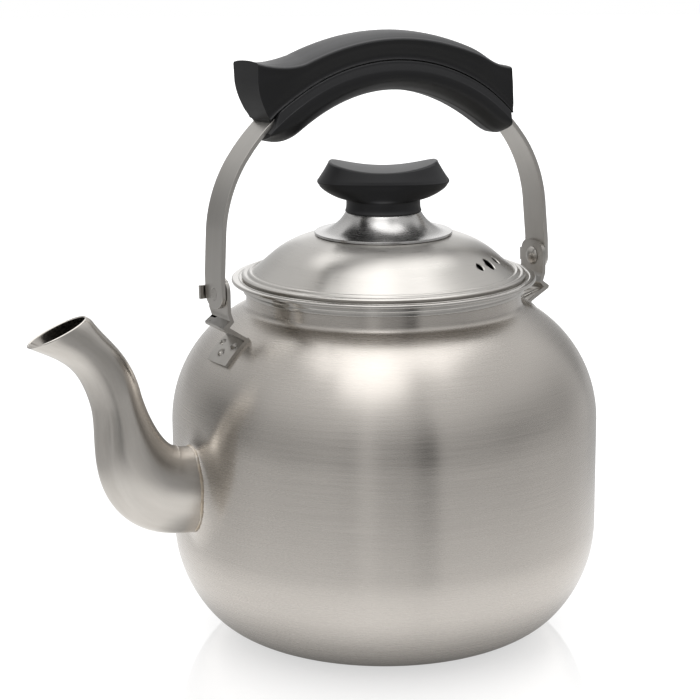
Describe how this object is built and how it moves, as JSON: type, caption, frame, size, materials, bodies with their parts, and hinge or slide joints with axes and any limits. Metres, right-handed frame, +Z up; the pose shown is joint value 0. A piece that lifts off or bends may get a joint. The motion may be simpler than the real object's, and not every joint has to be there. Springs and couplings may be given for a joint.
{
  "type": "stovetop kettle",
  "caption": "Round stovetop kettle with a lift-off domed lid, a curved spout, and a strap bail with a shaped grip that folds down to one side.",
  "frame": {"origin": "on the axis of the round body, at the underside of its flat base", "axes": "+Z up along the body's axis, -X towards the spout, the bail's pivots on +X and -X, and the bail folds down towards -Y"},
  "size_m": [0.2644, 0.19, 0.2676],
  "materials": {
    "brushed_steel": "finely brushed all round",
    "polished_steel": "turned and polished",
    "lid_steel": "finely brushed, spun",
    "satin_steel": "satin",
    "weld_steel": "ground weld, slightly straw coloured",
    "plated_steel": "plated",
    "brass": "turned",
    "black_phenolic": "fine matte"
  },
  "bodies": {
    "kettle": {"body_shell": "brushed_steel", "mouth_ring": "polished_steel", "spout": "brushed_steel", "spout_weld": "weld_steel", "ear_spout_side": "satin_steel", "ear_rear_side": "satin_steel"},
    "bail": {"bail_strap": "satin_steel", "pivot_rivets": "satin_steel", "grip_upper": "black_phenolic", "grip_lower": "black_phenolic"},
    "lid": {"lid_shell": "lid_steel", "lid_ring": "lid_steel", "knob_seat": "lid_steel", "knob": "black_phenolic", "knob_insert": "brass", "knob_screw": "plated_steel", "knob_washer": "plated_steel"}
  },
  "joints": [
    {"name": "bail_swing", "type": "hinge", "parent": "kettle", "child": "bail", "pos_m": [0, 0, 0.1607], "axis": [1, 0, 0], "range_deg": [0, 103]},
    {"name": "lid_lift", "type": "slide", "parent": "kettle", "child": "lid", "axis": [0, 0, 1], "range_m": [0, 0.02]}
  ]
}
